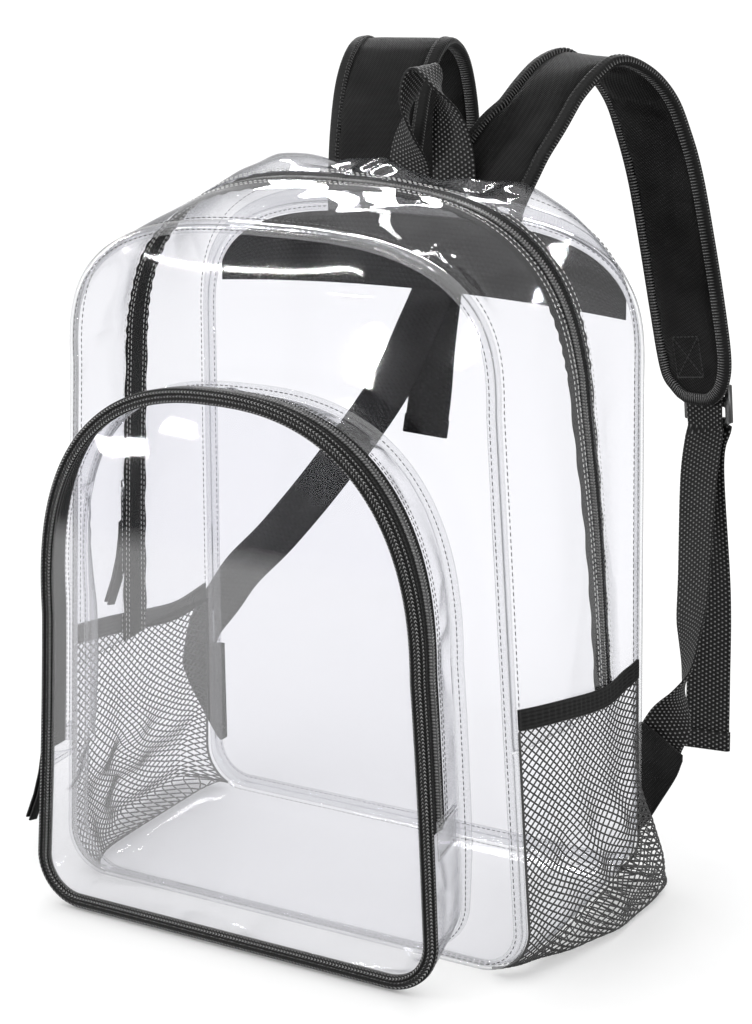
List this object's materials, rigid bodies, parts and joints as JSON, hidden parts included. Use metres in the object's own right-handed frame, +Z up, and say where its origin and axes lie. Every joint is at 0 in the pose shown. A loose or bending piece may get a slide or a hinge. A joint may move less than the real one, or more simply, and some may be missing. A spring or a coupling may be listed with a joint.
{
  "type": "clear backpack",
  "caption": "Clear vinyl backpack with black trim: zipped main compartment, zipped front pocket, net side pockets, padded shoulder straps and a grab handle.",
  "frame": {"origin": "on the floor under the middle of the main compartment, at the bottom's flat outer face", "axes": "+Z up, -Y towards the front pocket, +X to the right of someone who looks at the front"},
  "size_m": [0.3883, 0.3491, 0.5108],
  "materials": {
    "clear_vinyl": "clear soft vinyl, glossy",
    "black_cloth": "woven nylon, matt",
    "black_webbing": "coarse woven webbing",
    "black_net": "knotless net",
    "zip_tape": "woven tape with a nylon coil",
    "black_plastic": "moulded, slightly glossy",
    "black_metal": "black lacquer, glossy"
  },
  "bodies": {
    "bag": {"base_gusset": "clear_vinyl", "zip_gusset_front": "clear_vinyl", "zip_gusset_rear": "clear_vinyl", "front_panel": "clear_vinyl", "back_panel": "clear_vinyl", "front_seam_binding": "clear_vinyl", "back_seam_binding": "clear_vinyl", "pocket_base_gusset": "clear_vinyl", "pocket_gusset": "clear_vinyl", "pocket_face": "clear_vinyl", "pocket_flange": "clear_vinyl", "pocket_zip_end_right": "clear_vinyl", "pocket_zip_end_left": "clear_vinyl", "pocket_binding": "black_cloth", "strap_right": "black_cloth", "strap_left": "black_cloth", "anchor_tab_right": "black_cloth", "anchor_tab_left": "black_cloth", "back_yoke": "black_webbing", "net_elastic_right": "black_webbing", "net_elastic_left": "black_webbing", "grab_handle": "black_webbing", "buckle_loop_right": "black_webbing", "buckle_loop_left": "black_webbing", "webbing_right": "black_webbing", "webbing_left": "black_webbing", "net_pocket_right": "black_net", "net_pocket_left": "black_net", "main_zip": "zip_tape", "pocket_zip": "zip_tape", "buckle_right": "black_plastic", "buckle_left": "black_plastic", "main_slider": "black_metal", "pocket_slider": "black_metal"},
    "main_pull": {"main_pull": "black_metal", "main_pull_ribbon": "black_webbing"},
    "pocket_pull": {"pocket_pull": "black_metal", "pocket_pull_ribbon": "black_webbing"}
  },
  "joints": [
    {"name": "main_pull_swing", "type": "hinge", "parent": "bag", "child": "main_pull", "pos_m": [-0.1578, -0.01216, 0.23642], "axis": [0, 1, 0], "range_deg": [0, 160]},
    {"name": "pocket_pull_swing", "type": "hinge", "parent": "bag", "child": "pocket_pull", "pos_m": [-0.1436, -0.11674, 0.12798], "axis": [0, 1, 0], "range_deg": [0, 160]}
  ]
}
